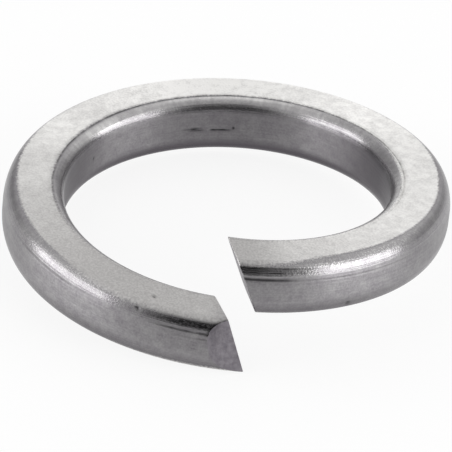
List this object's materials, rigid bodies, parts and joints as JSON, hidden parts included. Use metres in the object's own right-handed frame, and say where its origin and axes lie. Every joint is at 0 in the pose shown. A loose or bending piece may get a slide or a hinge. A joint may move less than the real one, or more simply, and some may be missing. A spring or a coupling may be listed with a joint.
{
  "type": "spring lock washer",
  "caption": "Split spring lock washer: one left-hand turn of nearly square rolled bar, cropped aslant at both ends, with a plain round bore.",
  "frame": {"origin": "on the bore's axis, at the height of the washer's lowest corner, which is the tip of its low end", "axes": "+Z along the bore's axis, from the low end up to the high end; -Y towards the split"},
  "size_m": [0.0256, 0.0256, 0.0074],
  "materials": {
    "steel": "tumbled satin on the bearing faces, smooth drawn walls, bare"
  },
  "bodies": {
    "root": {"washer": "steel"}
  },
  "joints": []
}
